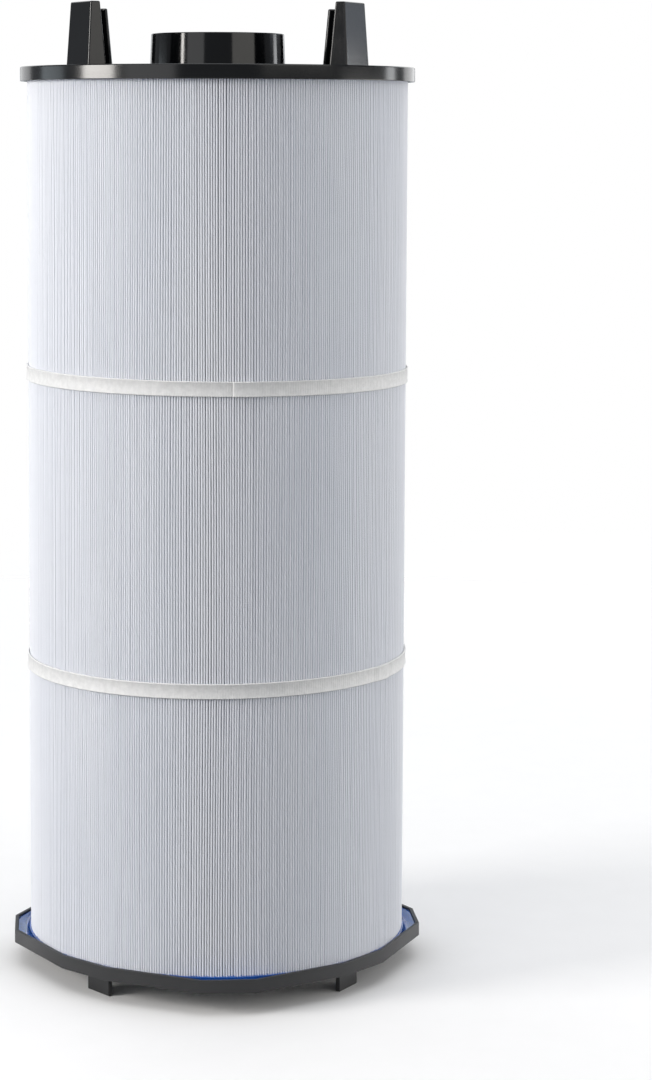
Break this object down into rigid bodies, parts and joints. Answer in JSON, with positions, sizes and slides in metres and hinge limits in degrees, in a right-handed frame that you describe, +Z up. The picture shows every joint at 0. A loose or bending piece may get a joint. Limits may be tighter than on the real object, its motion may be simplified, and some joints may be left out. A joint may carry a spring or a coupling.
{
  "type": "filter cartridge",
  "caption": "Tall pleated pool and spa filter cartridge with a black top plate, central hub, hold-down posts, strapped white media and a footed base tray filled with blue potting.",
  "frame": {"origin": "on the cartridge's axis at the level of the feet's undersides", "axes": "+Z up along the cartridge's axis, the front faces -Y, +X to the right seen from the front"},
  "size_m": [0.3306, 0.3306, 0.7715],
  "materials": {
    "gloss_black_plastic": "smooth glossy black moulded plastic",
    "satin_charcoal_plastic": "satin charcoal moulded plastic",
    "white_pleated_media": "white nonwoven polyester folded in fine vertical pleats",
    "off_white_strap": "off-white flat woven strap",
    "blue_potting": "glossy blue cast resin",
    "core_plastic": "light grey slotted moulding",
    "black_rubber": "matt black rubber"
  },
  "bodies": {
    "root": {"base_tray": "satin_charcoal_plastic", "base_potting": "blue_potting", "pleated_media": "white_pleated_media", "lower_band": "off_white_strap", "upper_band": "off_white_strap", "core_lower": "core_plastic", "core_middle": "core_plastic", "core_upper": "core_plastic", "core_coupler_lower": "core_plastic", "core_coupler_upper": "core_plastic", "outlet_neck": "satin_charcoal_plastic", "outlet_seal": "black_rubber", "foot_1": "satin_charcoal_plastic", "foot_2": "satin_charcoal_plastic", "foot_3": "satin_charcoal_plastic", "foot_4": "satin_charcoal_plastic", "top_potting": "blue_potting", "top_plate": "gloss_black_plastic", "hub_collar": "gloss_black_plastic", "bleed_bush": "black_rubber", "hold_down_post_1": "gloss_black_plastic", "hold_down_post_2": "gloss_black_plastic", "hold_down_post_3": "gloss_black_plastic", "hold_down_post_4": "gloss_black_plastic"}
  },
  "joints": []
}
